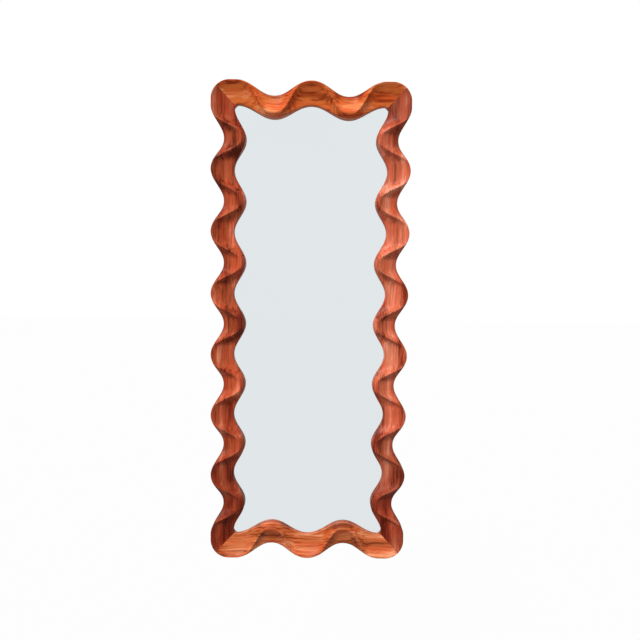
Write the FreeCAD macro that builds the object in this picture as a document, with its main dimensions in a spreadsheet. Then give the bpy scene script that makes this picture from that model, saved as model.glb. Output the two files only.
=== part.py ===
"""Tall wall mirror in a carved, wavy wooden frame.

Frame: X runs to the viewer's right, +Z is up and the glass faces -Y. The origin is the
middle of the wall plane, which the four rubber bumpers touch. Lengths are in millimetres.

Along each carved member the section changes with the wave: "along" is measured from the
member's middle, "inward" from the line that touches the outer lobes, and "depth" forward
from the back of the wood.
"""
import FreeCAD, Part
import math
import os

SIZES = {
    # the whole frame
    "overall_width": 700.0,
    "overall_height": 1700.0,
    "wood_depth": 52.0,
    # the wave of the four members
    "band_width": 79.0,
    "stile_waves": 7,
    "rail_waves": 2,
    "corner_lobe": 88.0,
    "stile_outer_wave": 43.0,
    "stile_inner_wave": 41.0,
    "rail_outer_wave": 47.0,
    "rail_inner_wave": 45.0,
    "outer_corner_radius": 66.0,
    "sight_corner_ease": 5.6,
    # the carved ridge: where it crosses the band, and how the scoops fall away from it
    "ridge_from_outer": 2.5,
    "ridge_from_inner": 14.0,
    "ridge_leaves_deg": 50.0,
    "ridge_arrives_deg": 155.0,
    "scoop_fall": 0.42,
    "scoop_hollow": 0.08,
    # the glass, its blocks and the board behind it
    "glass_thickness": 5.0,
    "glass_lap": 12.5,
    "glass_edge_gap": 3.0,
    "glass_arris": 0.6,
    "block_length": 50.0,
    "block_spread": 170.0,
    "side_block_spread": 430.0,
    "board_thickness": 6.0,
    "board_edge_gap": 1.0,
    "board_slack": 0.4,
    # dowels across the mitres
    "dowel_diameter": 8.0,
    "dowel_length": 36.0,
    "dowel_depth": 14.0,
    "dowel_inset": 34.0,
    "dowel_pitch": 18.0,
    "dowel_bevel": 1.0,
    "glue_gap": 0.05,
    # steel angle plates let in over the mitres
    "plate_inset": 35.0,
    "plate_leg": 88.0,
    "plate_width": 18.0,
    "plate_thickness": 2.0,
    "plate_round": 4.0,
    "plate_fit": 0.2,
    "plate_first_screw": 47.0,
    "plate_screw_pitch": 30.0,
    # screws
    "flat_screw_shank": 3.5,
    "flat_screw_head": 7.0,
    "flat_screw_length": 17.0,
    "pan_screw_shank": 3.5,
    "pan_screw_head": 7.5,
    "pan_screw_rise": 2.2,
    "pan_screw_length": 15.0,
    "screw_point": 3.0,
    "screw_tip": 0.9,
    "cross_span": 3.8,
    "cross_width": 0.9,
    "cross_depth": 1.0,
    "hole_play": 0.15,
    # turn buttons that hold the board
    "button_length": 36.0,
    "button_width": 12.0,
    "button_thickness": 1.6,
    "button_play": 0.2,
    "button_pivot": 50.0,
    # strap hangers with a swinging ring
    "strap_width": 13.0,
    "strap_length": 46.0,
    "strap_thickness": 2.4,
    "strap_inset": 30.0,
    "strap_first_screw": 14.0,
    "strap_screw_pitch": 22.0,
    "eye_wall": 1.2,
    "ring_wire": 3.5,
    "ring_play": 0.15,
    "ring_width": 25.0,
    "ring_reach": 28.0,
    "ring_bend": 4.0,
    "ring_lean_deg": 2.0,
    # rubber bumpers that meet the wall
    "bumper_diameter": 18.0,
    "bumper_height": 8.0,
    "bumper_bevel": 1.5,
    "bumper_inset": 20.0,
    # how far a cutter runs past the face that it cuts through
    "overshoot": 1.0,
}

SECTIONS_PER_WAVE = 16
SECTIONS_PER_CORNER = 8

# each member: the way from its outer line to the glass, as a turn about Y from straight up
MEMBER_TURNS = {"bottom_rail": 0.0, "left_stile": 90.0, "top_rail": 180.0, "right_stile": 270.0}
CORNER_TURNS = {"bottom_right": 0.0, "bottom_left": 90.0, "top_left": 180.0, "top_right": 270.0}

AXIS_X = FreeCAD.Vector(1, 0, 0)
AXIS_Y = FreeCAD.Vector(0, 1, 0)
AXIS_Z = FreeCAD.Vector(0, 0, 1)
QUARTER_TURN = 90.0
SAME_PLACE = 0.01

doc = FreeCAD.newDocument("wavy_mirror")
sheet = doc.addObject("Spreadsheet::Sheet", "Sizes")


def fill_sheet():
    for row, (alias, value) in enumerate(SIZES.items(), start=1):
        sheet.set(f"A{row}", alias)
        sheet.set(f"B{row}", str(value))
        sheet.setAlias(f"B{row}", alias)
    doc.recompute()


def size(alias):
    return float(sheet.get(alias))


def bind(item, **expressions):
    for name, expression in expressions.items():
        item.setExpression(name, expression)
    return item


def primitive(kind, name, placement=None, **expressions):
    item = doc.addObject("Part::" + kind, name)
    bind(item, **expressions)
    if placement:
        item.Placement = placement
    return item


def join(name, items):
    item = doc.addObject("Part::MultiFuse", name)
    item.Shapes = items
    return item


def group(name, items):
    item = doc.addObject("Part::Compound", name)
    item.Links = items
    return item


def cut(name, base, tool):
    item = doc.addObject("Part::Cut", name)
    item.Base = base
    item.Tool = tool
    return item


def spot(x, y, z):
    return FreeCAD.Placement(FreeCAD.Vector(x, y, z), FreeCAD.Rotation())


# ---------------------------------------------------------------- places on the frame

def rebate_line():
    """Inward distance of the rebate's side wall."""
    return size("band_width") - size("glass_lap") - size("glass_edge_gap")


def rebate_depth():
    return size("glass_thickness") + size("board_thickness") + size("board_slack")


def is_stile(member):
    return member.endswith("stile")


def half_length(member):
    return size("overall_height" if is_stile(member) else "overall_width") / 2


def half_reach(member):
    """Distance from the middle of the mirror to the member's outer line."""
    return size("overall_width" if is_stile(member) else "overall_height") / 2


def wave_pitch(member):
    waves = size("stile_waves" if is_stile(member) else "rail_waves")
    return 2 * (half_length(member) - size("corner_lobe")) / waves


def member_placement(member):
    """Own X runs along the member, own Y to the glass, own Z forward from the back."""
    turn = MEMBER_TURNS[member]
    turned = FreeCAD.Rotation(AXIS_Y, turn)
    base = turned.multVec(FreeCAD.Vector(0, 0, -half_reach(member)))
    base.y = -size("bumper_height")
    return FreeCAD.Placement(base, turned.multiply(FreeCAD.Rotation(AXIS_X, QUARTER_TURN)))


def back_rotation(turn):
    """For a piece on the back: own Z points to the wall, own Y up and then turned."""
    about_y = FreeCAD.Rotation(AXIS_Y, turn + 2 * QUARTER_TURN)
    return about_y.multiply(FreeCAD.Rotation(AXIS_X, -QUARTER_TURN))


def on_member_back(member, along, inward, turn=None):
    """A place on the member's back; own Y points to the glass unless a turn is given."""
    point = member_placement(member).multVec(FreeCAD.Vector(along, inward, 0))
    chosen = MEMBER_TURNS[member] if turn is None else turn
    return FreeCAD.Placement(point, back_rotation(chosen))


def at_corner(corner):
    """A corner of the outer box; own X and Y run along the two members that meet there."""
    turn = CORNER_TURNS[corner]
    across = size("overall_width") / 2 * (1 if "right" in corner else -1)
    up = size("overall_height") / 2 * (1 if "top" in corner else -1)
    return FreeCAD.Placement(FreeCAD.Vector(across, -size("bumper_height"), up), back_rotation(turn))


def lobe(member, number):
    """Place along the member of an outer lobe; on a stile, lobe 0 is the top corner's."""
    first = half_length(member) - size("corner_lobe")
    from_first = first - number * wave_pitch(member)
    return -from_first if member == "left_stile" else from_first


# ---------------------------------------------------------------- carved members

def smooth_step(value):
    value = min(max(value, 0.0), 1.0)
    return value * value * (3 - 2 * value)


def section_points(member, along):
    """The seven points that steer a member's section, as (inward, depth).

    They are the back corner, outer edge, outer scoop, ridge, inner scoop, inner edge and
    back corner. The two scoop points pull the section hollow.
    """
    kind = "stile" if is_stile(member) else "rail"
    from_end = half_length(member) - abs(along)
    phase = 2 * math.pi * max(from_end - size("corner_lobe"), 0.0) / wave_pitch(member)
    swing = (1 - math.cos(phase)) / 2

    radius = size("outer_corner_radius")
    into_corner = max(radius - from_end, 0.0)
    outer = size(kind + "_outer_wave") * swing
    outer += radius - math.sqrt(radius ** 2 - into_corner ** 2)

    ease = size("sight_corner_ease")
    into_ease = size("band_width") + 2.5 * ease - from_end
    inner = size("band_width") + size(kind + "_inner_wave") * swing
    inner += 2 * ease * smooth_step(into_ease / (3 * ease))

    folded = math.degrees(math.acos(math.cos(phase)))
    start = size("ridge_leaves_deg")
    crossed = smooth_step((folded - start) / (size("ridge_arrives_deg") - start))
    near_outer = outer + size("ridge_from_outer")
    near_inner = inner - size("ridge_from_inner")
    ridge = near_outer + crossed * (near_inner - near_outer)

    top = size("wood_depth")
    outer_depth = top - size("scoop_fall") * (ridge - outer)
    inner_depth = top - size("scoop_fall") * (inner - ridge)
    outer_pull = (top + outer_depth) / 2 - 2 * size("scoop_hollow") * (ridge - outer)
    inner_pull = (top + inner_depth) / 2 - 2 * size("scoop_hollow") * (inner - ridge)
    return [
        (outer, 0.0),
        (outer, outer_depth),
        ((outer + ridge) / 2, outer_pull),
        (ridge, top),
        ((ridge + inner) / 2, inner_pull),
        (inner, inner_depth),
        (inner, 0.0),
    ]


def section_places(member):
    """Places along the member where its section is taken: closer at the corners."""
    first = half_length(member) - size("outer_corner_radius") / 4
    corner = half_length(member) - size("corner_lobe")
    steps = round(2 * corner / wave_pitch(member) * SECTIONS_PER_WAVE)
    ends = [first + (corner - first) * i / SECTIONS_PER_CORNER for i in range(SECTIONS_PER_CORNER)]
    wave = [-corner + 2 * corner * i / steps for i in range(steps + 1)]
    return [-place for place in ends] + wave + ends[::-1]


def skin(rows, curves, start, finish):
    """A face between neighbouring curves: straight across two, hollow across three."""
    guide = curves[rows[0]]
    poles = [list(column) for column in zip(*(curves[row].getPoles() for row in rows))]
    across = len(rows) - 1
    surface = Part.BSplineSurface()
    surface.buildFromPolesMultsKnots(
        poles, guide.getMultiplicities(), [across + 1, across + 1], guide.getKnots(), [0.0, 1.0],
        False, False, guide.Degree, across)
    surface.segment(start, finish, 0.0, 1.0)
    return surface


def face_inside(edges):
    return Part.Face(Part.Wire(Part.__sortEdges__(edges)))


def back_line(curves, place):
    return Part.LineSegment(curves[0].value(place), curves[-1].value(place)).toShape()


def stretches(member):
    """The member cut up at its ends, its corner lobes and each half wave."""
    corner = half_length(member) - size("corner_lobe")
    halves = round(4 * corner / wave_pitch(member))
    lobes = [-corner + 2 * corner * i / halves for i in range(halves + 1)]
    places = section_places(member)
    stops = [places[0]] + lobes + [places[-1]]
    return list(zip(stops, stops[1:]))


def carved_blank(member):
    """The member's carved solid, over-long at both ends, to be mitred."""
    places = section_places(member)
    sections = [section_points(member, place) for place in places]
    curves = []
    for row in range(len(sections[0])):
        points = [FreeCAD.Vector(place, *section[row]) for place, section in zip(places, sections)]
        curve = Part.BSplineCurve()
        curve.interpolate(Points=points, Parameters=places)
        curves.append(curve)
    faces = []
    for start, finish in stretches(member):
        skins = [skin(rows, curves, start, finish) for rows in ((0, 1), (1, 2, 3), (3, 4, 5), (5, 6))]
        faces += [surface.toShape() for surface in skins]
        faces.append(face_inside([
            curves[0].toShape(start, finish),
            curves[-1].toShape(start, finish),
            back_line(curves, start),
            back_line(curves, finish),
        ]))
        for place in (start, finish):
            if place in (places[0], places[-1]):
                ring = [surface.uIso(place).toShape() for surface in skins]
                faces.append(face_inside(ring + [back_line(curves, place)]))
    shell = Part.Shell(faces)
    shell.sewShape()
    solid = Part.Solid(shell)
    if solid.Volume < 0:
        solid.reverse()
    item = doc.addObject("Part::Feature", member + "_carving")
    item.Shape = solid
    item.Placement = member_placement(member)
    return item


def mitre_envelope(member):
    """The trapezium between the two mitres: as long as the frame outside, shorter inside."""
    kind = "height" if is_stile(member) else "width"
    wave = "stile_inner_wave" if is_stile(member) else "rail_inner_wave"
    reach = f"(Sizes.band_width + Sizes.{wave} + Sizes.overshoot)"
    return primitive(
        "Wedge", member + "_mitres", member_placement(member),
        Xmin=f"-Sizes.overall_{kind} / 2", Xmax=f"Sizes.overall_{kind} / 2",
        Ymin="0", Ymax=reach,
        Zmin="-Sizes.overshoot", Zmax="Sizes.wood_depth + Sizes.overshoot",
        X2min=f"-Sizes.overall_{kind} / 2 + {reach}", X2max=f"Sizes.overall_{kind} / 2 - {reach}",
        Z2min="-Sizes.overshoot", Z2max="Sizes.wood_depth + Sizes.overshoot")


REBATE_LINE = "(Sizes.band_width - Sizes.glass_lap - Sizes.glass_edge_gap)"
REBATE_DEPTH = "(Sizes.glass_thickness + Sizes.board_thickness + Sizes.board_slack)"


def flat_panel(name, inset, front, thickness):
    """A box with all four edges inset from the outer lines and its front at a depth."""
    panel = primitive(
        "Box", name,
        Length=f"Sizes.overall_width - 2 * {inset}", Height=f"Sizes.overall_height - 2 * {inset}",
        Width=thickness)
    return bind(panel, **{
        "Placement.Base.x": f"{inset} - Sizes.overall_width / 2",
        "Placement.Base.y": f"-Sizes.bumper_height - {front}",
        "Placement.Base.z": f"{inset} - Sizes.overall_height / 2"})


def neighbours(member):
    """The two corners that a member runs into."""
    side = member.split("_")[0]
    return [corner for corner in CORNER_TURNS if side in corner]


def carved_member(member, cutters):
    mitred = doc.addObject("Part::Common", member + "_mitred")
    mitred.Base = carved_blank(member)
    mitred.Tool = mitre_envelope(member)
    tool = join(member + "_cutters", cutters)
    return finish(member, cut(member, mitred, tool))


# ---------------------------------------------------------------- screws and their holes

def screw(kind):
    """A screw with its head's seat at z = 0, or a flat one with its top there."""
    shank = f"Sizes.{kind}_screw_shank / 2"
    head = f"Sizes.{kind}_screw_head / 2"
    length = f"Sizes.{kind}_screw_length"
    body = primitive("Cylinder", kind + "_shank", Radius=shank, Height=f"{length} - Sizes.screw_point")
    bind(body, **{"Placement.Base.z": f"Sizes.screw_point - {length}"})
    point = primitive(
        "Cone", kind + "_point", Radius1="Sizes.screw_tip / 2", Radius2=shank, Height="Sizes.screw_point")
    bind(point, **{"Placement.Base.z": f"-{length}"})
    if kind == "flat":
        top = primitive("Cone", "flat_head", Radius1=shank, Radius2=head, Height=f"{head} - {shank}")
        bind(top, **{"Placement.Base.z": f"{shank} - {head}"})
        crown = "0"
    else:
        rise = "Sizes.pan_screw_rise"
        dome = f"(({head}) ^ 2 + {rise} ^ 2) / (2 * {rise})"
        base_angle = f"asin(1 - {rise} / ({dome}))"
        top = primitive("Sphere", "pan_head", Radius=dome, Angle1=base_angle, Angle2="90")
        bind(top, **{"Placement.Base.z": f"{rise} - {dome}"})
        crown = rise
    slots = []
    for name, across, along in (("slot_x", "span", "width"), ("slot_y", "width", "span")):
        slot = primitive(
            "Box", f"{kind}_{name}",
            Length=f"Sizes.cross_{across}", Width=f"Sizes.cross_{along}",
            Height="Sizes.cross_depth + Sizes.overshoot")
        bind(slot, **{
            "Placement.Base.x": f"-Sizes.cross_{across} / 2",
            "Placement.Base.y": f"-Sizes.cross_{along} / 2",
            "Placement.Base.z": f"{crown} - Sizes.cross_depth"})
        slots.append(slot)
    solid = join(kind + "_screw_solid", [body, point, top])
    return cut(kind + "_screw", solid, join(kind + "_cross", slots))


def screws_at(label, kind, places):
    """A group of identical screws, one at each place."""
    links = []
    for place in places:
        link = doc.addObject("App::Link", f"{label}_one")
        link.LinkedObject = masters[kind]
        link.Placement = place
        links.append(link)
    return finish(label, group(label, links))


def pilot_hole(kind, place):
    """A hole for a screw's shank, from the back of the wood forward."""
    return primitive(
        "Cylinder", kind + "_pilot", place.multiply(spot(0, 0, -size(kind + "_screw_length"))),
        Radius=f"Sizes.{kind}_screw_shank / 2 + Sizes.glue_gap",
        Height=f"Sizes.{kind}_screw_length + Sizes.overshoot")


def through_hole(kind, place, thickness, low=0.0):
    """A hole with play round the shank through a strip whose underside is at a height."""
    return primitive(
        "Cylinder", kind + "_hole", place.multiply(spot(0, 0, low - size("overshoot"))),
        Radius=f"Sizes.{kind}_screw_shank / 2 + Sizes.hole_play",
        Height=f"{thickness} + 2 * Sizes.overshoot")


# ---------------------------------------------------------------- sub-parts in general

parts = {}
masters = {}


def finish(label, item):
    item.Label = label
    parts[label] = item
    return item


# ---------------------------------------------------------------- glass and board

def mirror_pane():
    """Float glass, silvered at the back, with a small arris on every edge."""
    glass = flat_panel(
        "glass_sheet", "(Sizes.band_width - Sizes.glass_lap)", REBATE_DEPTH, "Sizes.glass_thickness")
    doc.recompute()
    arris = doc.addObject("Part::Chamfer", "mirror_pane")
    arris.Base = glass
    arris.Edges = [
        (number, size("glass_arris"), size("glass_arris"))
        for number in range(1, len(glass.Shape.Edges) + 1)]
    return finish("mirror_pane", arris)


def backing_board():
    front = "(Sizes.board_slack + Sizes.board_thickness)"
    board = flat_panel(
        "backing_board", f"({REBATE_LINE} + Sizes.board_edge_gap)", front, "Sizes.board_thickness")
    return finish("backing_board", board)


def edge_block(member, along):
    """A small rubber block between the rebate's wall and the glass's edge."""
    first = along - size("block_length") / 2
    place = spot(first, rebate_line(), rebate_depth() - size("glass_thickness"))
    return primitive(
        "Box", member + "_block", member_placement(member).multiply(place),
        Length="Sizes.block_length", Width="Sizes.glass_edge_gap", Height="Sizes.glass_thickness")


def glass_blocks():
    """Two blocks carry the glass; six more keep it in the middle."""
    across = (-size("block_spread"), size("block_spread"))
    along = (-size("side_block_spread"), size("side_block_spread"))
    finish("setting_blocks", group("setting_blocks", [edge_block("bottom_rail", x) for x in across]))
    spacers = [edge_block("top_rail", x) for x in across]
    spacers += [edge_block(stile, x) for stile in ("left_stile", "right_stile") for x in along]
    finish("edge_spacers", group("edge_spacers", spacers))


# ---------------------------------------------------------------- mitre joints

def dowel_places(corner):
    """Two dowels square to the mitre; own Z runs along the dowel from its middle."""
    places = []
    for number in range(2):
        inset = size("dowel_inset") + number * size("dowel_pitch")
        lie = FreeCAD.Rotation(AXIS_Z, FreeCAD.Vector(1, -1, 0))
        middle = FreeCAD.Placement(FreeCAD.Vector(inset, inset, -size("dowel_depth")), lie)
        places.append(at_corner(corner).multiply(middle))
    return places


def dowel(place):
    """A wooden peg with bevelled ends."""
    radius = "Sizes.dowel_diameter / 2"
    tip = f"{radius} - Sizes.dowel_bevel"
    bevel = size("dowel_bevel")
    foot = place.multiply(spot(0, 0, -size("dowel_length") / 2))
    barrel = primitive(
        "Cylinder", "dowel_barrel", foot.multiply(spot(0, 0, bevel)),
        Radius=radius, Height="Sizes.dowel_length - 2 * Sizes.dowel_bevel")
    low = primitive("Cone", "dowel_low", foot, Radius1=tip, Radius2=radius, Height="Sizes.dowel_bevel")
    high = primitive(
        "Cone", "dowel_high", foot.multiply(spot(0, 0, size("dowel_length") - bevel)),
        Radius1=radius, Radius2=tip, Height="Sizes.dowel_bevel")
    return join("dowel", [barrel, low, high])


def dowel_hole(place):
    sunk = place.multiply(spot(0, 0, -size("dowel_length") / 2 - size("overshoot")))
    return primitive(
        "Cylinder", "dowel_hole", sunk,
        Radius="Sizes.dowel_diameter / 2 + Sizes.glue_gap",
        Height="Sizes.dowel_length + 2 * Sizes.overshoot")


def crossed_strips(name, corner, play, height):
    """Two strips that make an angle from the plate's bed up; play is an alias or nothing."""
    wider = f" + 2 * Sizes.{play}" if play else ""
    first = size("plate_inset") - (size(play) if play else 0.0)
    leg = "Sizes.plate_leg" + wider
    width = "Sizes.plate_width" + wider
    bed = at_corner(corner).multiply(spot(first, first, -size("plate_thickness")))
    angle = join(name, [
        primitive("Box", name + "_x", bed, Length=leg, Width=width, Height=height),
        primitive("Box", name + "_y", bed, Length=width, Width=leg, Height=height)])
    angle.Refine = True
    return angle


def plate_recess(corner):
    return crossed_strips("plate_recess", corner, "plate_fit", "Sizes.plate_thickness + Sizes.overshoot")


def plate_screw_places(corner):
    middle = size("plate_inset") + size("plate_width") / 2
    places = []
    for number in range(2):
        out = size("plate_inset") + size("plate_first_screw") + number * size("plate_screw_pitch")
        places.append(at_corner(corner).multiply(spot(out, middle, 0)))
        places.append(at_corner(corner).multiply(spot(middle, out, 0)))
    return places


def corner_plate(corner):
    """A flat steel angle, flush with the back of the wood, with countersunk holes."""
    label = "corner_plate_" + corner
    angle = crossed_strips(label + "_angle", corner, None, "Sizes.plate_thickness")
    doc.recompute()
    rounded = doc.addObject("Part::Fillet", label + "_rounded")
    rounded.Base = angle
    inner = size("plate_inset") + size("plate_width")
    hollow = at_corner(corner).multVec(FreeCAD.Vector(inner, inner, 0))
    upright = []
    for number, edge in enumerate(angle.Shape.Edges, start=1):
        beside = edge.Vertexes[0].Point - hollow
        beside.y = 0
        if edge.tangentAt(0).cross(AXIS_Y).Length < SAME_PLACE and beside.Length > SAME_PLACE:
            upright.append(number)
    rounded.Edges = [(number, size("plate_round"), size("plate_round")) for number in upright]
    shank = "Sizes.flat_screw_shank / 2 + Sizes.hole_play"
    head = "Sizes.flat_screw_head / 2 + Sizes.hole_play"
    sink = (size("flat_screw_head") - size("flat_screw_shank")) / 2
    holes = []
    for place in plate_screw_places(corner):
        holes.append(through_hole("flat", place, "Sizes.plate_thickness", -size("plate_thickness")))
        holes.append(primitive(
            "Cone", "plate_sink", place.multiply(spot(0, 0, -sink)),
            Radius1=shank, Radius2=head, Height=f"({head}) - ({shank})"))
    return finish(label, cut(label, rounded, join(label + "_holes", holes)))


# ---------------------------------------------------------------- turn buttons

BUTTON_LOBES = {
    "left_stile": (1, 3, 4, 6),
    "right_stile": (1, 3, 4, 6),
    "top_rail": (1,),
    "bottom_rail": (1,),
}


def button_places(member):
    return [on_member_back(member, lobe(member, n), size("button_pivot")) for n in BUTTON_LOBES[member]]


def turn_button(label, place):
    """A flat steel strip with round ends that turns about its screw."""
    raised = place.multiply(spot(0, 0, size("button_play")))
    radius = "Sizes.button_width / 2"
    thick = "Sizes.button_thickness"
    span = size("button_length") - size("button_width")
    strip = primitive(
        "Box", label + "_strip", raised.multiply(spot(-size("button_width") / 2, 0, 0)),
        Length="Sizes.button_width", Width="Sizes.button_length - Sizes.button_width", Height=thick)
    heel = primitive("Cylinder", label + "_heel", raised, Radius=radius, Height=thick)
    far = raised.multiply(spot(0, span, 0))
    toe = primitive("Cylinder", label + "_toe", far, Radius=radius, Height=thick)
    blank = join(label + "_blank", [strip, heel, toe])
    blank.Refine = True
    return finish(label, cut(label, blank, through_hole("pan", raised, thick)))


# ---------------------------------------------------------------- strap hangers

HANGER_LOBE = 2


def hanger_place(stile):
    """The middle of the strap's eye, brought down to the wood; own Y points up."""
    return on_member_back(stile, lobe(stile, HANGER_LOBE), size("strap_inset"), turn=0.0)


def eye_radius():
    return size("ring_wire") / 2 + size("ring_play") + size("eye_wall")


def strap_screw_places(stile):
    first = size("strap_first_screw")
    falls = (first, first + size("strap_screw_pitch"))
    return [hanger_place(stile).multiply(spot(0, -fall, 0)) for fall in falls]


def lie_across(place, out, half_span):
    """A cylinder's place whose own Z runs along the strap's X."""
    turned = FreeCAD.Placement(
        FreeCAD.Vector(-half_span, 0, out), FreeCAD.Rotation(AXIS_Y, QUARTER_TURN))
    return place.multiply(turned)


def hanger_strap(side):
    """A steel strip folded round the ring's bar and screwed to the stile."""
    label = "hanger_strap_" + side
    place = hanger_place(side + "_stile")
    half_width = size("strap_width") / 2
    strip = primitive(
        "Box", label + "_strip", place.multiply(spot(-half_width, -size("strap_length"), 0)),
        Length="Sizes.strap_width", Width="Sizes.strap_length", Height="Sizes.strap_thickness")
    eye = primitive(
        "Cylinder", label + "_eye", lie_across(place, eye_radius(), half_width),
        Radius="Sizes.ring_wire / 2 + Sizes.ring_play + Sizes.eye_wall", Height="Sizes.strap_width")
    bore = primitive(
        "Cylinder", label + "_bore", lie_across(place, eye_radius(), half_width + size("overshoot")),
        Radius="Sizes.ring_wire / 2 + Sizes.ring_play", Height="Sizes.strap_width + 2 * Sizes.overshoot")
    blank = join(label + "_blank", [strip, eye])
    holes = [
        through_hole("pan", screw_place, "Sizes.strap_thickness")
        for screw_place in strap_screw_places(side + "_stile")]
    return finish(label, cut(label, blank, join(label + "_cuts", [bore] + holes)))


def hanger_ring(side):
    """A D of round wire: a straight bar in the eye, two arms and a round top.

    It stands up from the eye and leans against the wood.
    """
    label = "hanger_ring_" + side
    lean = FreeCAD.Placement(
        FreeCAD.Vector(0, 0, eye_radius()), FreeCAD.Rotation(AXIS_X, -size("ring_lean_deg")))
    place = hanger_place(side + "_stile").multiply(lean)
    half = size("ring_width") / 2
    bend = size("ring_bend")
    wire = "Sizes.ring_wire / 2"
    arm_top = size("ring_reach") - half
    pieces = [primitive(
        "Cylinder", label + "_bar", lie_across(place, 0, half - bend),
        Radius=wire, Height="Sizes.ring_width - 2 * Sizes.ring_bend")]
    upright = FreeCAD.Rotation(AXIS_X, -QUARTER_TURN)
    for sign, start in ((1, -QUARTER_TURN), (-1, -2 * QUARTER_TURN)):
        arm = FreeCAD.Placement(FreeCAD.Vector(sign * half, bend, 0), upright)
        pieces.append(primitive(
            "Cylinder", label + "_arm", place.multiply(arm), Radius=wire,
            Height="Sizes.ring_reach - Sizes.ring_width / 2 - Sizes.ring_bend"))
        corner = FreeCAD.Placement(
            FreeCAD.Vector(sign * (half - bend), bend, 0), FreeCAD.Rotation(AXIS_Z, start))
        pieces.append(primitive(
            "Torus", label + "_bend", place.multiply(corner),
            Radius1="Sizes.ring_bend", Radius2=wire, Angle3="90"))
    pieces.append(primitive(
        "Torus", label + "_top", place.multiply(spot(0, arm_top, 0)),
        Radius1="Sizes.ring_width / 2", Radius2=wire, Angle3="180"))
    return finish(label, join(label, pieces))


# ---------------------------------------------------------------- bumpers

def bumper(label, member, number):
    """A round rubber foot stuck to the back, with a bevelled rim against the wall."""
    place = on_member_back(member, lobe(member, number), size("bumper_inset"))
    radius = "Sizes.bumper_diameter / 2"
    foot = primitive(
        "Cylinder", label + "_foot", place,
        Radius=radius, Height="Sizes.bumper_height - Sizes.bumper_bevel")
    rim = primitive(
        "Cone", label + "_rim", place.multiply(spot(0, 0, size("bumper_height") - size("bumper_bevel"))),
        Radius1=radius, Radius2=f"{radius} - Sizes.bumper_bevel", Height="Sizes.bumper_bevel")
    return finish(label, join(label, [foot, rim]))


# ---------------------------------------------------------------- the whole mirror

def wood_cutters(member, rebate):
    """Everything that is cut into the back of one member."""
    cutters = [rebate]
    for corner in neighbours(member):
        cutters += [dowel_hole(place) for place in dowel_places(corner)]
        cutters.append(plate_recess(corner))
        cutters += [pilot_hole("flat", place) for place in plate_screw_places(corner)]
    cutters += [pilot_hole("pan", place) for place in button_places(member)]
    if is_stile(member):
        cutters += [pilot_hole("pan", place) for place in strap_screw_places(member)]
    return cutters


def build():
    fill_sheet()
    masters["flat"] = screw("flat")
    masters["pan"] = screw("pan")
    doc.recompute()

    rebate = flat_panel("rebate", REBATE_LINE, REBATE_DEPTH, f"{REBATE_DEPTH} + Sizes.overshoot")
    for member in MEMBER_TURNS:
        carved_member(member, wood_cutters(member, rebate))

    mirror_pane()
    glass_blocks()
    backing_board()

    finish("mitre_dowels", group("mitre_dowels", [
        dowel(place) for corner in CORNER_TURNS for place in dowel_places(corner)]))
    for corner in CORNER_TURNS:
        corner_plate(corner)
    screws_at("corner_plate_screws", "flat", [
        place for corner in CORNER_TURNS for place in plate_screw_places(corner)])

    stack = spot(0, 0, size("button_thickness") + 2 * size("button_play"))
    button_screw_places = []
    for member in BUTTON_LOBES:
        for number, place in enumerate(button_places(member), start=1):
            side = member.split("_")[0]
            label = f"turn_button_{side}_{number}" if is_stile(member) else f"turn_button_{side}"
            turn_button(label, place)
            button_screw_places.append(place.multiply(stack))
    screws_at("turn_button_screws", "pan", button_screw_places)

    on_strap = spot(0, 0, size("strap_thickness"))
    hanger_screw_places = []
    for side in ("left", "right"):
        hanger_strap(side)
        hanger_ring(side)
        hanger_screw_places += [place.multiply(on_strap) for place in strap_screw_places(side + "_stile")]
    screws_at("hanger_screws", "pan", hanger_screw_places)

    for side in ("left", "right"):
        bumper("bumper_top_" + side, side + "_stile", 0)
        bumper("bumper_bottom_" + side, side + "_stile", round(size("stile_waves")))

    doc.recompute()


def check_and_export():
    for item in doc.Objects:
        if "Invalid" in item.State or "Error" in item.State:
            raise RuntimeError(f"{item.Name} ({item.Label}) is {item.State}")
    os.makedirs("parts", exist_ok=True)
    for label, item in parts.items():
        if item.Shape.isNull() or not item.Shape.isValid():
            raise RuntimeError(f"{label} has no valid shape")
        item.Shape.exportStep(f"parts/{label}.step")
        box = item.Shape.BoundBox
        print(f"{label}: {len(item.Shape.Solids)} solid(s), {item.Shape.Volume / 1000:.2f} cm3, "
              f"{box.XLength:.1f} x {box.YLength:.1f} x {box.ZLength:.1f} mm")


build()
check_and_export()
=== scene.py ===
"""Looks of the wavy carved wall mirror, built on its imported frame.

Lengths are in metres. X runs to the viewer's right, +Z is up and the glass faces -Y.
"""
import bpy
import bmesh
from math import acos, cos, degrees, pi, radians, sin, sqrt
from mathutils import Matrix, Vector


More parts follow.
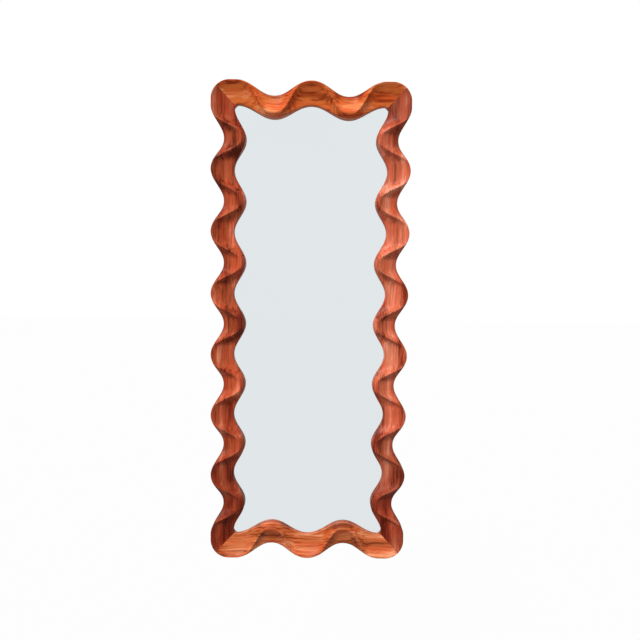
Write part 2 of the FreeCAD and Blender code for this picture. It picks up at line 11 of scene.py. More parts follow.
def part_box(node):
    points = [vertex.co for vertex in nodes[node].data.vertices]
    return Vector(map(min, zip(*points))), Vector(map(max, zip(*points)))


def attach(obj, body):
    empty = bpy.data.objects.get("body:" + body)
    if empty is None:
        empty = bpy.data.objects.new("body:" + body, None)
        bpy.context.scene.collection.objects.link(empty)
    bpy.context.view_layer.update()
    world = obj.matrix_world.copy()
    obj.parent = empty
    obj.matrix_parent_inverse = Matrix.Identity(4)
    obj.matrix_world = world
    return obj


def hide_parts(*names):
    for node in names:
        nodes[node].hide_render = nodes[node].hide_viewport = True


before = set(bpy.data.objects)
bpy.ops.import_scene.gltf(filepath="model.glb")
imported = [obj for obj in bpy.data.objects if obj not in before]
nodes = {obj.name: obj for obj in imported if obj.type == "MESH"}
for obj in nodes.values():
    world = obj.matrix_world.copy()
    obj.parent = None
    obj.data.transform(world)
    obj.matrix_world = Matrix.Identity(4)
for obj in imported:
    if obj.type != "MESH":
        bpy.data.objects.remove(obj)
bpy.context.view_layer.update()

# ---------------------------------------------------------------- carved members
# Two long stiles and two short rails of solid hardwood, stained red-brown. Their edges are
# sawn to a wave and their faces carved in hollow scoops that meet in slanting ridges. The
# rebate for the glass runs along the back, and the ends are mitred, dowelled and glued.

HALF_WIDTH, HALF_HEIGHT = 0.35, 0.85
WOOD_BACK = 0.008           # the bumpers hold the wood this far off the wall
WOOD_DEPTH = 0.052
BAND = 0.079
CORNER_LOBE = 0.088
OUTER_RADIUS = 0.066
SIGHT_EASE = 0.0056
STILE_WAVE = {"pitch": 1.524 / 7, "outer": 0.043, "inner": 0.041}
RAIL_WAVE = {"pitch": 0.262, "outer": 0.047, "inner": 0.045}
RIDGE_FROM_OUTER, RIDGE_FROM_INNER = 0.0025, 0.014
RIDGE_LEAVES, RIDGE_ARRIVES = 50.0, 155.0       # degrees of the wave


def ease(value):
    value = min(max(value, 0.0), 1.0)
    return value * value * (3 - 2 * value)


def band_lines(wave, from_end):
    """How far inward the outer edge, the ridge and the inner edge lie at one place."""
    phase = 2 * pi * max(from_end - CORNER_LOBE, 0.0) / wave["pitch"]
    swing = (1 - cos(phase)) / 2
    into_corner = max(OUTER_RADIUS - from_end, 0.0)
    outer = wave["outer"] * swing + OUTER_RADIUS - sqrt(OUTER_RADIUS ** 2 - into_corner ** 2)
    into_sight = BAND + 2.5 * SIGHT_EASE - from_end
    inner = BAND + wave["inner"] * swing + 2 * SIGHT_EASE * ease(into_sight / (3 * SIGHT_EASE))
    folded = degrees(acos(cos(phase)))
    crossed = ease((folded - RIDGE_LEAVES) / (RIDGE_ARRIVES - RIDGE_LEAVES))
    near_outer, near_inner = outer + RIDGE_FROM_OUTER, inner - RIDGE_FROM_INNER
    return outer, near_outer + crossed * (near_inner - near_outer), inner


def arc(start, pull, stop, share):
    """A point along the bow from start to stop that bends towards pull."""
    return tuple((1 - share) ** 2 * a + 2 * share * (1 - share) * b + share ** 2 * c
                 for a, b, c in zip(start, pull, stop))


SCOOP_FALL, INNER_STEP, INNER_FALL, SCOOP_HOLLOW = 0.42, 0.016, 0.16, 0.08


def scoop(edge, ridge, fall):
    """The bow of one scoop, from the low edge of the band up to the ridge."""
    low = WOOD_DEPTH - fall
    middle = (WOOD_DEPTH + low) / 2 - 2 * SCOOP_HOLLOW * abs(ridge - edge)
    return (edge, low), ((edge + ridge) / 2, middle), (ridge, WOOD_DEPTH)


REBATE_LINE, REBATE_DEPTH = 0.0635, 0.0114
RIDGE_ROUND, EDGE_ROUND, BACK_ARRIS, BACK_MARGIN = 0.0085, 0.0030, 0.0006, 0.004
# On a narrow scoop a rounding takes no more than these shares of its width.
EDGE_SHARE, RIDGE_SHARE, RIDGE_LEAST = 0.42, 0.45, 0.0004
ROUND_STEPS, OUTER_STEPS, RIDGE_STEPS, INNER_STEPS = 4, 13, 7, 14
# Painted shade on the upright walls: (share of the wall's height, mark).
OUTER_WALL_SHADE = ((0.25, 0.3), (0.5, 0.3), (0.75, 0.35), (0.9, 0.6), (1.0, 1.0))
INNER_WALL_SHADE = ((0.75, 0.1), (0.5, 0.1), (0.25, 0.2), (0.08, 0.8), (0.0, 1.0))


def member_section(wave, from_end):
    """Points round a member as (inward, depth, ridge, edge): ridge marks worn places, edge painted
    shade.
    """
    outer, ridge, inner = band_lines(wave, from_end)
    wide_out, wide_in = ridge - outer, inner - ridge
    out_bow = scoop(outer, ridge, SCOOP_FALL * wide_out)
    in_bow = scoop(inner, ridge, INNER_STEP + INNER_FALL * wide_in)
    out_top, in_top = out_bow[0][1] - EDGE_ROUND, in_bow[0][1] - EDGE_ROUND
    edge_out = min(EDGE_ROUND, EDGE_SHARE * wide_out) / wide_out
    edge_in = min(EDGE_ROUND, EDGE_SHARE * wide_in) / wide_in
    ridge_out = 1 - min(min(RIDGE_ROUND, RIDGE_SHARE * wide_out + RIDGE_LEAST) / wide_out, 0.5)
    ridge_in = 1 - min(RIDGE_ROUND, RIDGE_SHARE * wide_in) / wide_in

    # the fourth number of each point is painted shade on the edges and walls
    # the back, the outer wall and the rounding at its top
    points = [(outer + BACK_MARGIN, 0.0, 0, 0), (outer + BACK_ARRIS, 0.0, 0, 0.6),
              (outer, BACK_ARRIS, 0, 0.6)]
    points += [(outer, out_top * share, 0, mark) for share, mark in OUTER_WALL_SHADE]
    points += [arc((outer, out_top), out_bow[0], arc(*out_bow, edge_out), k / ROUND_STEPS)
               + (0, 1 - 0.12 * k) for k in range(1, ROUND_STEPS + 1)]
    # the outer scoop, the rounded ridge and the inner scoop
    points += [arc(*out_bow, edge_out + (ridge_out - edge_out) * k / OUTER_STEPS)
               + (0, max(0.6 - 0.2 * k, 0)) for k in range(1, OUTER_STEPS)]
    points += [arc(arc(*out_bow, ridge_out), (ridge, WOOD_DEPTH), arc(*in_bow, ridge_in),
                   k / RIDGE_STEPS) + (1 - abs(2 * k / RIDGE_STEPS - 1), 0)
               for k in range(RIDGE_STEPS + 1)]
    points += [arc(*in_bow, ridge_in + (edge_in - ridge_in) * k / INNER_STEPS)
               + (0, max(0.15 * k - 1.8, 0)) for k in range(1, INNER_STEPS)]
    # the rounding at the inner edge, the inner wall and the rebate
    points += [arc(arc(*in_bow, edge_in), in_bow[0], (inner, in_top), k / ROUND_STEPS)
               + (0, 0.3 - 0.05 * k) for k in range(ROUND_STEPS + 1)]
    points += [(inner, REBATE_DEPTH + (in_top - REBATE_DEPTH) * share, 0, mark)
               for share, mark in INNER_WALL_SHADE]
    points += [(REBATE_LINE, REBATE_DEPTH, 0, 0), (REBATE_LINE, 0.0, 0, 0)]
    return points


WELD, ON_MITRE = 4e-6, 1e-5


def cut_on_mitre(mesh, corner, out):
    """Saws the end off along the mitre and closes it with a flat face."""
    bmesh.ops.bisect_plane(mesh, geom=mesh.verts[:] + mesh.edges[:] + mesh.faces[:],
                           plane_co=corner, plane_no=out, clear_outer=True)
    bmesh.ops.remove_doubles(mesh, verts=mesh.verts[:], dist=WELD)
    rim = [edge for edge in mesh.edges if edge.is_boundary
           and all(abs((vert.co - corner).dot(out)) < ON_MITRE for vert in edge.verts)]
    bmesh.ops.contextual_create(mesh, geom=rim)


def mesh_object(mesh, name):
    """Turns the finished mesh into an object in the scene."""
    data = bpy.data.meshes.new(name)
    mesh.to_mesh(data)
    mesh.free()
    made = bpy.data.objects.new(name, data)
    bpy.context.scene.collection.objects.link(made)
    return made


# How far the darkening reaches from a stile's ends, and over what length it fades below.
UPPER_DARK_REACH, LOWER_DARK_REACH, LOWER_FADE = 0.45, 0.70, 0.56


def end_darkening(height, from_end, end_dark):
    """How much darker the wood is made at one place, from the amounts given for the upper and
    lower end.
    """
    if height > 0:
        return end_dark[0] * ease((UPPER_DARK_REACH - from_end) / UPPER_DARK_REACH)
    return end_dark[1] * ease((LOWER_DARK_REACH - from_end) / LOWER_FADE)


ROW_STEP = 0.0034


def carved_member(name, turn, length, reach, wave, end_dark):
    """The finished board of one side. length and reach are half sizes of the frame."""
    along = Vector((cos(turn), 0, -sin(turn)))
    inward = Vector((sin(turn), 0, cos(turn)))
    mesh = bmesh.new()
    ridge_mark = mesh.verts.layers.float.new("ridge")
    # edge holds painted shade on the edges and walls
    edge_shade_mark = mesh.verts.layers.float.new("edge")
    end_mark = mesh.verts.layers.float.new("end")
    first = length - OUTER_RADIUS / 4
    count = round(2 * first / ROW_STEP)
    rows = []
    for number in range(count + 1):
        place = first * (2 * number / count - 1)
        row = []
        for point_in, depth, on_ridge, on_shaded_edge in member_section(wave, length - abs(place)):
            spot = along * place + inward * (point_in - reach)
            vert = mesh.verts.new((spot.x, -WOOD_BACK - depth, spot.z))
            vert[ridge_mark], vert[edge_shade_mark] = on_ridge, on_shaded_edge
            vert[end_mark] = end_darkening(spot.z, length - abs(place), end_dark)
            row.append(vert)
        rows.append(row)
    for row, following in zip(rows, rows[1:]):
        for k in range(len(row)):
            other = (k + 1) % len(row)
            mesh.faces.new((row[k], row[other], following[other], following[k]))
    for end in (-1, 1):
        corner = along * end * length - inward * reach
        cut_on_mitre(mesh, corner, (along * end + inward).normalized())
    bmesh.ops.recalc_face_normals(mesh, faces=mesh.faces[:])
    return mesh_object(mesh, name)


def flat_solid(mesh, outline, low, high):
    """Adds a flat-sided block to the mesh: outline is a list of (x, z), from y = low to high."""
    rings = [[mesh.verts.new((x, y, z)) for x, z in outline] for y in (low, high)]
    mesh.faces.new(rings[0])
    mesh.faces.new(rings[1][::-1])
    for k in range(len(outline)):
        other = (k + 1) % len(outline)
        mesh.faces.new((rings[0][k], rings[1][k], rings[1][other], rings[0][other]))


CORNERS = {"bottom_left": (-1, -1), "bottom_right": (1, -1),
           "top_left": (-1, 1), "top_right": (1, 1)}
PLATE_WIDTH, PLATE_PLAY, PAST_MITRE, PAST_BACK = 0.018, 0.0002, 0.003, 0.001
DOWEL_ROUND, DOWEL_LENGTH, DOWEL_DEPTH, DOWEL_INSETS = 0.0041, 0.0361, 0.014, (0.034, 0.052)


def joint_cutters(upright):
    """What the corner joints take out of the stiles, or of the rails: plate beds, dowel holes."""
    mesh = bmesh.new()
    for label, (out_x, out_z) in CORNERS.items():
        low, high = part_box("corner_plate_" + label)
        elbow = (low.x if out_x < 0 else high.x, low.z if out_z < 0 else high.z)
        leg, wide = high.x - low.x + PLATE_PLAY, PLATE_WIDTH + PLATE_PLAY
        strip = [(-PLATE_PLAY, -PAST_MITRE), (wide, -PAST_MITRE), (wide, leg), (-PLATE_PLAY, leg)]
        if not upright:
            strip = [(along, across) for across, along in strip]
        outline = [(elbow[0] - out_x * a, elbow[1] - out_z * b) for a, b in strip]
        flat_solid(mesh, outline, low.y, high.y + PAST_BACK)
        lie = Vector((out_x, 0, -out_z)).to_track_quat("Z", "Y").to_matrix().to_4x4()
        for inset in DOWEL_INSETS:
            middle = Vector((out_x * (HALF_WIDTH - inset), -WOOD_BACK - DOWEL_DEPTH,
                             out_z * (HALF_HEIGHT - inset)))
            bmesh.ops.create_cone(mesh, cap_ends=True, segments=24, radius1=DOWEL_ROUND,
                                  radius2=DOWEL_ROUND, depth=DOWEL_LENGTH,
                                  matrix=Matrix.Translation(middle) @ lie)
    bmesh.ops.recalc_face_normals(mesh, faces=mesh.faces[:])
    return mesh_object(mesh, "joint_cutters")


SHARP_FOLD = radians(38)


def cut_joints(member, cutters):
    saw = member.modifiers.new("joints", "BOOLEAN")
    saw.operation, saw.solver, saw.object = "DIFFERENCE", "EXACT", cutters
    bpy.context.view_layer.update()
    done = bpy.data.meshes.new_from_object(
        member.evaluated_get(bpy.context.evaluated_depsgraph_get()))
    member.modifiers.clear()
    member.data = done
    done.name = member.name
    done.shade_smooth()
    done.set_sharp_from_angle(angle=SHARP_FOLD)


def put(tree, kind, options=None, inputs=None):
    """One shader node. options are its own settings; inputs are values or sockets to join."""
    node = tree.nodes.new("ShaderNode" + kind)
    for option, value in (options or {}).items():
        setattr(node, option, value)
    for name, value in (inputs or {}).items():
        if isinstance(value, bpy.types.NodeSocket):
            tree.links.new(value, node.inputs[name])
        else:
            node.inputs[name].default_value = value
    return node


def sum_of(tree, operation, first, second, third=None):
    inputs = {0: first, 1: second}
    if third is not None:
        inputs[2] = third
    return put(tree, "Math", {"operation": operation}, inputs).outputs[0]


def vector_of(tree, operation, first, second):
    return put(tree, "VectorMath", {"operation": operation}, {0: first, 1: second}).outputs[0]


def spread(tree, value, low, high, at_low=0.0, at_high=1.0, smooth=False):
    """Stretches low to high over at_low to at_high, and holds both ends."""
    kind = "SMOOTHSTEP" if smooth else "LINEAR"
    return put(tree, "MapRange", {"interpolation_type": kind},
               {0: value, 1: low, 2: high, 3: at_low, 4: at_high}).outputs[0]


def blend(tree, share, first, second, kind="MIX"):
    node = put(tree, "Mix", {"data_type": "RGBA", "blend_type": kind},
               {0: share, 6: first, 7: second})
    return node.outputs[2]


def effect(name, inputs, outputs):
    """An empty node group with its named ways in and out."""
    tree = bpy.data.node_groups.new(name, "ShaderNodeTree")
    kinds = {"vector": "NodeSocketVector", "color": "NodeSocketColor", "value": "NodeSocketFloat"}
    for label, kind, value in inputs:
        socket = tree.interface.new_socket(label, in_out="INPUT", socket_type=kinds[kind])
        if value is not None:
            socket.default_value = value
    for label, kind in outputs:
        tree.interface.new_socket(label, in_out="OUTPUT", socket_type=kinds[kind])
    return tree, tree.nodes.new("NodeGroupInput").outputs, tree.nodes.new("NodeGroupOutput").inputs


def stretched_noise(tree, vector, scale, detail=2.0, rough=0.5):
    scaled = vector_of(tree, "MULTIPLY", vector, scale)
    return put(tree, "TexNoise", {}, {"Vector": scaled, "Scale": 1.0, "Detail": detail,
                                      "Roughness": rough}).outputs


def wood_figure():
    """Growth rings, streaks, fibre and pores of a board whose grain runs along its own X."""
    tree, ways_in, ways_out = effect(
        "wood_figure",
        [("Grain", "vector", None), ("Pale", "color", (0.8, 0.3, 0.12, 1)),
         ("Middle", "color", (0.5, 0.12, 0.04, 1)), ("Dark", "color", (0.15, 0.03, 0.01, 1)),
         ("Tone", "value", 0.5), ("Ring Width", "value", 0.006), ("Ring Strength", "value", 0.3),
         ("Streaks", "value", 0.5)],
        [("Color", "color"), ("Roughness", "value"), ("Height", "value")])

    # the log is a little bent, and its rings wobble round the pith and fade here and there
    drift = stretched_noise(tree, ways_in["Grain"], (2.5, 9.0, 9.0), 2.0)["Color"]
    drift = vector_of(tree, "SUBTRACT", drift, (0.5, 0.5, 0.5))
    drift = vector_of(tree, "MULTIPLY", drift, (0.0, 0.03, 0.03))
    bent = vector_of(tree, "ADD", ways_in["Grain"], drift)
    flat = vector_of(tree, "MULTIPLY", bent, (0.0, 1.0, 1.0))
    from_pith = put(tree, "VectorMath", {"operation": "LENGTH"}, {0: flat}).outputs["Value"]
    wobble = stretched_noise(tree, bent, (12.0, 60.0, 60.0), 3.0)["Fac"]
    turns = sum_of(tree, "ADD", sum_of(tree, "DIVIDE", from_pith, ways_in["Ring Width"]),
                   sum_of(tree, "MULTIPLY", wobble, 2.2))
    late = spread(tree, sum_of(tree, "PINGPONG", turns, 0.5), 0.16, 0.5, smooth=True)
    faint = stretched_noise(tree, bent, (9.0, 70.0, 70.0), 2.0)["Fac"]
    faint = spread(tree, faint, 0.35, 0.65, 0.1)
    rings = sum_of(tree, "MULTIPLY", late, faint)
    rings = sum_of(tree, "MULTIPLY", rings, ways_in["Ring Strength"])

    # broad patches, streaks and fibre shift the tone between dark and pale
    broad = stretched_noise(tree, bent, (3.5, 22.0, 22.0), 2.0)["Fac"]
    streak = stretched_noise(tree, bent, (7.0, 130.0, 130.0), 3.0)["Fac"]
    fibre = stretched_noise(tree, bent, (22.0, 700.0, 700.0), 3.0, 0.6)["Fac"]
    tone = ways_in["Tone"]
    for grain, strength in ((broad, 1.9), (streak, ways_in["Streaks"]), (fibre, 0.35)):
        tone = sum_of(tree, "MULTIPLY_ADD", sum_of(tree, "SUBTRACT", grain, 0.5), strength, tone)
    tone = sum_of(tree, "SUBTRACT", tone, rings)
    to_middle = spread(tree, tone, 0.05, 0.5, smooth=True)
    to_pale = spread(tree, tone, 0.5, 0.95, smooth=True)
    color = blend(tree, to_pale, blend(tree, to_middle, ways_in["Dark"], ways_in["Middle"]),
                  ways_in["Pale"])

    # redder patches of stain, and pores that hold it
    red = stretched_noise(tree, bent, (5.0, 34.0, 34.0), 3.0, 0.6)["Fac"]
    red = spread(tree, red, 0.4, 0.62, smooth=True)
    color = blend(tree, red, color, (1.0, 0.70, 0.62, 1), "MULTIPLY")
    pores = stretched_noise(tree, bent, (110.0, 1900.0, 1900.0), 1.0)["Fac"]
    pores = spread(tree, pores, 0.64, 0.74)
    color = blend(tree, sum_of(tree, "MULTIPLY", pores, 0.35), color, ways_in["Dark"])
    rough = sum_of(tree, "MULTIPLY_ADD", pores, 0.15, 0.36)
    rough = sum_of(tree, "MULTIPLY_ADD", fibre, 0.16, rough)
    height = sum_of(tree, "SUBTRACT", sum_of(tree, "MULTIPLY", fibre, 0.5), pores)
    tree.links.new(color, ways_out["Color"])
    tree.links.new(rough, ways_out["Roughness"])
    tree.links.new(height, ways_out["Height"])
    return tree


def edge_shade_and_wear():
    """Darkens the edges and walls as painted shade, darkens the stile ends, and pales the ridges
    where hands rub them.
    """
    tree, ways_in, ways_out = effect(
        "edge_shade_and_wear",
        [("Color", "color", None), ("Grain", "vector", None), ("Ridge", "value", 0.0),
         ("Edge", "value", 0.0), ("End", "value", 0.0)], [("Color", "color")])
    patch = stretched_noise(tree, ways_in["Grain"], (18.0, 60.0, 60.0), 3.0)["Fac"]
    patch = spread(tree, patch, 0.35, 0.65)
    # painted shade: edges and walls darkened where the rounding turns away from the light
    dark = sum_of(tree, "MULTIPLY", ways_in["Edge"], sum_of(tree, "MULTIPLY_ADD", patch, 0.2, 0.8))
    darkened = blend(tree, dark, ways_in["Color"], (0.28, 0.14, 0.10, 1), "MULTIPLY")
    # darker towards the stile ends
    toward_ends = sum_of(tree, "MULTIPLY", ways_in["End"], sum_of(tree, "MULTIPLY_ADD", patch, 0.25, 0.7))
    darkened = blend(tree, toward_ends, darkened, (0.45, 0.31, 0.25, 1), "MULTIPLY")
    pale = sum_of(tree, "MULTIPLY", ways_in["Ridge"], sum_of(tree, "MULTIPLY", patch, 0.03))
    tree.links.new(blend(tree, pale, darkened, (0.9, 0.45, 0.25, 1)), ways_out["Color"])
    return tree


def new_material(name, settings):
    """A material with these values on its surface. Gives the material, its tree and surface."""
    made = bpy.data.materials.new(name)
    made.use_nodes = True
    surface = made.node_tree.nodes["Principled BSDF"]
    for label, value in settings.items():
        surface.inputs[label].default_value = value
    return made, made.node_tree, surface


def lead(tree, surface, color, rough, height=None, strength=0.0, distance=0.0):
    """Leads colour, roughness and a fine relief to the surface."""
    tree.links.new(color, surface.inputs["Base Color"])
    tree.links.new(rough, surface.inputs["Roughness"])
    if height is not None:
        relief = put(tree, "Bump", {}, {
            "Height": height, "Strength": strength, "Distance": distance})
        tree.links.new(relief.outputs[0], surface.inputs["Normal"])


WOOD_FIGURE, EDGE_SHADE_AND_WEAR = wood_figure(), edge_shade_and_wear()


def wood_finish(name, look):
    """Stained wood under satin lacquer. lie turns the grain, log is the place in the log."""
    finish, tree, surface = new_material(name, {
        "Specular IOR Level": 0.09, "Coat Weight": 0.03, "Coat Roughness": 0.3})
    place = put(tree, "TexCoord").outputs["Object"]
    grain = put(tree, "Mapping", {}, {
        "Vector": place, "Rotation": look["lie"], "Location": look["log"]}).outputs[0]
    figure = put(tree, "Group", {"node_tree": WOOD_FIGURE}, {
        "Grain": grain, "Pale": look["pale"], "Middle": look["middle"], "Dark": look["dark"],
        "Tone": look["tone"], "Ring Width": look["ring_width"],
        "Ring Strength": look["ring_strength"], "Streaks": look["streaks"]}).outputs
    # Edge holds painted shade on edges and walls, End the darkening towards the stile ends, Ridge
    # the wear
    marks = {label: put(tree, "Attribute", {"attribute_name": label.lower()}).outputs["Fac"]
             for label in ("Ridge", "Edge", "End")}
    shaded_and_worn = put(tree, "Group", {"node_tree": EDGE_SHADE_AND_WEAR},
               {"Color": figure["Color"], "Grain": grain, **marks}).outputs
    lead(tree, surface, shaded_and_worn["Color"], figure["Roughness"], figure["Height"], 0.25, 0.0004)
    return finish


UPRIGHT, LEVEL = (0.0, radians(90), 0.0), (0.0, 0.0, 0.0)
# Each stile is made darker towards its upper and lower end by the two amounts given.
BOARDS = {
    "left_stile": {
        "turn": 90, "wave": STILE_WAVE, "slot": "stile_wood", "end_dark": (0.45, 1.1),
        "lie": UPRIGHT, "log": (4.9, -0.015, -0.535),
        "pale": (0.80, 0.28, 0.16, 1), "middle": (0.46, 0.092, 0.034, 1),
        "dark": (0.13, 0.014, 0.003, 1), "tone": 0.50,
        "ring_width": 0.008, "ring_strength": 0.22, "streaks": 0.65},
    "right_stile": {
        "turn": 270, "wave": STILE_WAVE, "slot": "stile_wood", "end_dark": (0.8, 1.2),
        "lie": UPRIGHT, "log": (6.2, -0.015, 0.535),
        "pale": (0.90, 0.38, 0.245, 1), "middle": (0.58, 0.146, 0.072, 1),
        "dark": (0.19, 0.026, 0.007, 1), "tone": 0.48,
        "ring_width": 0.008, "ring_strength": 0.22, "streaks": 0.6},
    "top_rail": {
        "turn": 180, "wave": RAIL_WAVE, "slot": "rail_wood", "end_dark": (0, 0),
        "lie": LEVEL, "log": (0.2, 0.195, -0.67),
        "pale": (0.92, 0.34, 0.14, 1), "middle": (0.66, 0.145, 0.030, 1),
        "dark": (0.28, 0.040, 0.005, 1), "tone": 0.58,
        "ring_width": 0.009, "ring_strength": 0.4, "streaks": 0.65},
    "bottom_rail": {
        "turn": 0, "wave": RAIL_WAVE, "slot": "rail_wood", "end_dark": (0, 0),
        "lie": LEVEL, "log": (3.1, 0.195, 0.95),
        "pale": (0.84, 0.36, 0.18, 1), "middle": (0.51, 0.128, 0.038, 1),
        "dark": (0.18, 0.028, 0.005, 1), "tone": 0.50,
        "ring_width": 0.010, "ring_strength": 0.35, "streaks": 0.7},
}
for name, look in BOARDS.items():
    upright, slot = look["lie"] == UPRIGHT, look["slot"]
    length, reach = (HALF_HEIGHT, HALF_WIDTH) if upright else (HALF_WIDTH, HALF_HEIGHT)
    board = carved_member("carved_" + name, radians(look["turn"]), length, reach,
                          look["wave"], look["end_dark"])
    cutters = joint_cutters(upright)
    cut_joints(board, cutters)
    bpy.data.objects.remove(cutters)
    board.data.materials.clear()
    board.data.materials.append(wood_finish(name + "_wood", look))
    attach(board, "frame")
    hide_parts(name)

# ---------------------------------------------------------------- mirror pane
# A pane of float glass, silvered on its back and with its edges ground off in a small arris.
# It stands in the rebate on two rubber blocks, and the board presses it against the wood.


def silvered_glass():
    """Silver behind clear glass: a cool white mirror with a faint haze and a hard gloss."""
    silver, tree, surface = new_material("silvered_glass", {
        "Metallic": 1.0, "Coat Weight": 1.0, "Coat Roughness": 0.0, "Coat IOR": 1.52})
    place = put(tree, "TexCoord").outputs["Object"]
    cloud = stretched_noise(tree, place, (2.0, 1.0, 2.0), 3.0)["Fac"]
    color = blend(tree, cloud, (0.735, 0.776, 0.796, 1), (0.765, 0.802, 0.822, 1))
    smear = stretched_noise(tree, place, (3.0, 1.0, 5.0), 4.0)["Fac"]
    lead(tree, surface, color, spread(tree, smear, 0.5, 0.8, 0.0, 0.01))
    return silver


def dress(names, finish):
    """Gives the carried-over solids of these nodes one material."""
    for name in names:
        nodes[name].material_slots[0].material = finish


dress(["mirror_pane"], silvered_glass())

# ---------------------------------------------------------------- backing board
# A sheet of 6 mm hardboard that closes the back: pressed brown wood fibre with darker and
# paler flecks. It lies loose in the rebate against the glass, and the turn buttons hold it.


def pressed_board():
    board, tree, surface = new_material("pressed_board", {"Specular IOR Level": 0.3})
    place = put(tree, "TexCoord").outputs["Object"]
    cloud = stretched_noise(tree, place, (5.0, 5.0, 5.0), 4.0)["Fac"]
    across = stretched_noise(tree, place, (90.0, 900.0, 600.0), 2.0, 0.6)["Fac"]
    upright = stretched_noise(tree, place, (600.0, 900.0, 90.0), 2.0, 0.6)["Fac"]
    dark = spread(tree, across, 0.58, 0.70, 0.0, 0.7)
    pale = spread(tree, upright, 0.60, 0.72, 0.0, 0.6)
    color = blend(tree, cloud, (0.25, 0.135, 0.060, 1), (0.38, 0.225, 0.110, 1))
    color = blend(tree, dark, color, (0.12, 0.055, 0.022, 1))
    color = blend(tree, pale, color, (0.52, 0.36, 0.20, 1))
    lead(tree, surface, color, spread(tree, across, 0.0, 1.0, 0.5, 0.8),
         sum_of(tree, "SUBTRACT", upright, across), 0.5, 0.0003)
    return board


dress(["backing_board"], pressed_board())

# ---------------------------------------------------------------- corner joints
# Two beech dowels are glued across each mitre. Over it a flat angle plate of zinc plated steel
# lies flush in the back of the wood, with countersunk wood screws through both its legs.


def plated_skin():
    """Zinc plating on steel: fine drawn lines, dull clouds and a few bright scratches."""
    tree, ways_in, ways_out = effect(
        "plated_skin",
        [("Place", "vector", None), ("Plating", "color", (0.5, 0.5, 0.5, 1)),
         ("Roughness", "value", 0.35)],
        [("Color", "color"), ("Roughness", "value"), ("Height", "value")])
    place = ways_in["Place"]
    drawn = stretched_noise(tree, place, (60.0, 60.0, 2400.0), 2.0, 0.6)["Fac"]
    cloud = stretched_noise(tree, place, (140.0, 140.0, 140.0), 4.0, 0.6)["Fac"]
    cloud = spread(tree, cloud, 0.35, 0.65, smooth=True)
    scratch = stretched_noise(tree, place, (2200.0, 160.0, 90.0), 1.0)["Fac"]
    scratch = spread(tree, scratch, 0.70, 0.74, 0.0, 0.6)
    dull = blend(tree, 1.0, ways_in["Plating"], (0.74, 0.76, 0.80, 1), "MULTIPLY")
    color = blend(tree, cloud, dull, ways_in["Plating"])
    rough = sum_of(tree, "MULTIPLY_ADD", cloud, -0.10, ways_in["Roughness"])
    tree.links.new(blend(tree, scratch, color, (0.80, 0.80, 0.78, 1)), ways_out["Color"])
    tree.links.new(sum_of(tree, "MULTIPLY_ADD", drawn, 0.16, rough), ways_out["Roughness"])
    tree.links.new(sum_of(tree, "SUBTRACT", drawn, scratch), ways_out["Height"])
    return tree


PLATED_SKIN = plated_skin()


def plated_steel(name, plating, rough):
    steel, tree, surface = new_material(name, {"Metallic": 1.0})
    skin = put(tree, "Group", {"node_tree": PLATED_SKIN}, {
        "Place": put(tree, "TexCoord").outputs["Object"], "Plating": plating,
        "Roughness": rough}).outputs
    lead(tree, surface, skin["Color"], skin["Roughness"], skin["Height"], 0.15, 0.0001)
    return steel


def beech():
    """Plain dowel wood, pale and short in the grain, which runs across each mitre."""
    dowel, tree, surface = new_material("beech", {})
    figure = put(tree, "Group", {"node_tree": WOOD_FIGURE}, {
        "Grain": put(tree, "TexCoord").outputs["Object"], "Pale": (0.72, 0.50, 0.30, 1),
        "Middle": (0.60, 0.38, 0.20, 1), "Dark": (0.40, 0.22, 0.10, 1), "Tone": 0.6,
        "Ring Width": 0.003, "Ring Strength": 0.3, "Streaks": 0.5}).outputs
    lead(tree, surface, figure["Color"], figure["Roughness"])
    return dowel


screw_steel = plated_steel("screw_plating", (0.56, 0.54, 0.47, 1), 0.30)
dress(["mitre_dowels"], beech())
dress(["corner_plate_" + label for label in CORNERS],
      plated_steel("plate_plating", (0.40, 0.415, 0.43, 1), 0.40))
dress(["corner_plate_screws"], screw_steel)

# ---------------------------------------------------------------- turn buttons
# Ten small steel tongues, zinc plated, each on its own round-head screw at the edge of the
# rebate. Turned inward they press the board home, and turned along the wood they free it.

dress([name for name in nodes if name.startswith("turn_button_") and name != "turn_button_screws"],
      plated_steel("button_plating", (0.47, 0.475, 0.47, 1), 0.32))
dress(["turn_button_screws"], screw_steel)

# ---------------------------------------------------------------- hangers
# A pressed steel strap on each stile, folded over the foot of a bent wire ring and held by
# two screws. The ring swings in the fold, and the wall hooks take it.

dress(["hanger_strap_left", "hanger_strap_right"],
      plated_steel("strap_plating", (0.43, 0.44, 0.45, 1), 0.34))
dress(["hanger_ring_left", "hanger_ring_right"],
      plated_steel("ring_plating", (0.52, 0.52, 0.515, 1), 0.22))
dress(["hanger_screws"], screw_steel)

# ---------------------------------------------------------------- rubber
# Four round bumpers glued to the back keep the wood off the wall. Inside the rebate the glass
# stands on two blocks of hard black rubber, and small spacers keep it off the sides.


def moulded_skin():
    """Black rubber: a matt grain from the mould, with a little pale dust."""
    tree, ways_in, ways_out = effect(
        "moulded_skin", [("Place", "vector", None), ("Rubber", "color", (0.03, 0.03, 0.03, 1))],
        [("Color", "color"), ("Roughness", "value"), ("Height", "value")])
    grain = stretched_noise(tree, ways_in["Place"], (1500.0, 1500.0, 1500.0), 3.0, 0.6)["Fac"]
    dust = stretched_noise(tree, ways_in["Place"], (190.0, 190.0, 190.0), 4.0, 0.65)["Fac"]
    dust = spread(tree, dust, 0.45, 0.75, 0.0, 0.3)
    tree.links.new(blend(tree, dust, ways_in["Rubber"], (0.16, 0.15, 0.14, 1)), ways_out["Color"])
    tree.links.new(sum_of(tree, "MULTIPLY_ADD", grain, 0.25, 0.5), ways_out["Roughness"])
    tree.links.new(grain, ways_out["Height"])
    return tree


MOULDED_SKIN = moulded_skin()


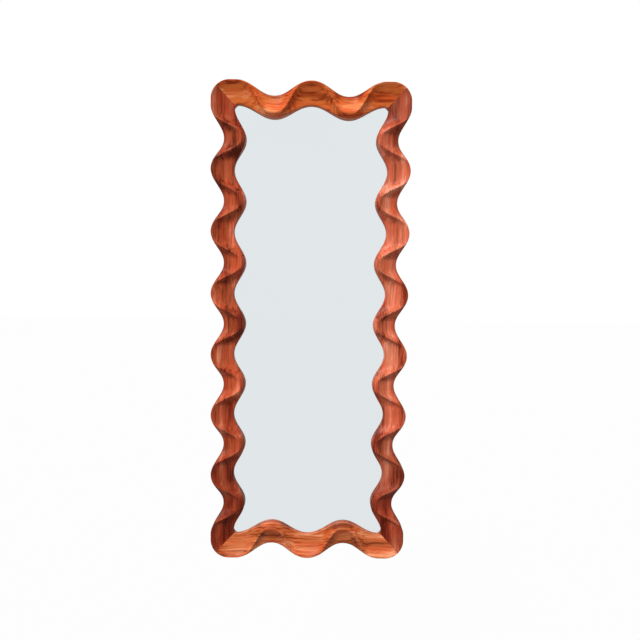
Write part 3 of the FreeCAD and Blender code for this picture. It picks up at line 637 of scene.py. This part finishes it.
def moulded_rubber(name, rubber):
    matt, tree, surface = new_material(name, {"Specular IOR Level": 0.3})
    skin = put(tree, "Group", {"node_tree": MOULDED_SKIN}, {
        "Place": put(tree, "TexCoord").outputs["Object"], "Rubber": rubber}).outputs
    lead(tree, surface, skin["Color"], skin["Roughness"], skin["Height"], 0.4, 0.0002)
    return matt


dress([name for name in nodes if name.startswith("bumper_")],
      moulded_rubber("bumper_black", (0.030, 0.030, 0.032, 1)))
dress(["setting_blocks", "edge_spacers"], moulded_rubber("block_black", (0.020, 0.020, 0.021, 1)))

# ---------------------------------------------------------------- floor, light and camera
# A plain pale floor below the hanging mirror, a soft light from above the viewer and the
# camera in front, a little right of the middle and above it.

FLOOR, FLOOR_REACH = -1.7, 30.0
floor_mesh = bmesh.new()
bmesh.ops.create_grid(floor_mesh, x_segments=1, y_segments=1, size=FLOOR_REACH,
                      matrix=Matrix.Translation((0, 0, FLOOR)))
floor = mesh_object(floor_mesh, "floor")


def seen_directly(tree):
    """1 for rays that show the background itself, past or through the object."""
    path = put(tree, "LightPath").outputs
    seen = sum_of(tree, "MAXIMUM", path["Is Camera Ray"], path["Is Glossy Ray"])
    return sum_of(tree, "MAXIMUM", seen, path["Is Transmission Ray"])


FLOOR_WHITENESS = 0.98      # the rest shows the light that falls on it
pale_floor, tree, surface = new_material("pale_floor", {
    "Base Color": (0.25, 0.25, 0.25, 1), "Roughness": 0.9})
white = put(tree, "Emission", {}, {"Color": (1, 1, 1, 1), "Strength": 1.0})
share = sum_of(tree, "MULTIPLY", seen_directly(tree), FLOOR_WHITENESS)
shown = put(tree, "MixShader", {}, {0: share, 1: surface.outputs[0], 2: white.outputs[0]})
tree.links.new(shown.outputs[0], tree.nodes["Material Output"].inputs["Surface"])
floor.data.materials.append(pale_floor)

FILL_LIGHT = 0.18
world = bpy.data.worlds.new("studio")
bpy.context.scene.world = world
world.use_nodes = True
sky = world.node_tree.nodes["Background"]
sky.inputs["Color"].default_value = (1, 1, 1, 1)
bright = spread(world.node_tree, seen_directly(world.node_tree), 0.0, 1.0, FILL_LIGHT, 1.0)
world.node_tree.links.new(bright, sky.inputs["Strength"])


def sun(name, place, power, width):
    """Light that falls from place towards the mirror. width is its angle in degrees."""
    light = bpy.data.lights.new(name, "SUN")
    light.energy, light.angle = power, radians(width)
    body = bpy.data.objects.new(name, light)
    body.location = place
    body.rotation_euler = (-Vector(place)).to_track_quat("-Z", "Y").to_euler()
    bpy.context.scene.collection.objects.link(body)


sun("key", (-0.5, -1.2, 1.3), power=3.8, width=16)
sun("behind", (1.0, 2.0, 1.5), power=1.0, width=40)

CAMERA_SPOT = Vector((0.040, -2.600, 0.165))
PAN, TILT, ROLL = radians(0.886), radians(-4.305), radians(0.727)
forward = Vector((sin(PAN) * cos(TILT), cos(PAN) * cos(TILT), sin(TILT)))
level = Vector((cos(PAN), -sin(PAN), 0))
upward = level.cross(forward)
right = cos(ROLL) * level + sin(ROLL) * upward
above = -sin(ROLL) * level + cos(ROLL) * upward
view = bpy.data.cameras.new("view")
view.lens = 40.310
view.shift_x, view.shift_y = -0.0180, 0.0201
view.sensor_width = 36.0
camera = bpy.data.objects.new("view", view)
camera.matrix_world = Matrix((
    (right.x, above.x, -forward.x, CAMERA_SPOT.x),
    (right.y, above.y, -forward.y, CAMERA_SPOT.y),
    (right.z, above.z, -forward.z, CAMERA_SPOT.z),
    (0, 0, 0, 1)))
bpy.context.scene.collection.objects.link(camera)
bpy.context.scene.camera = camera
bpy.context.scene.view_settings.view_transform = "Standard"
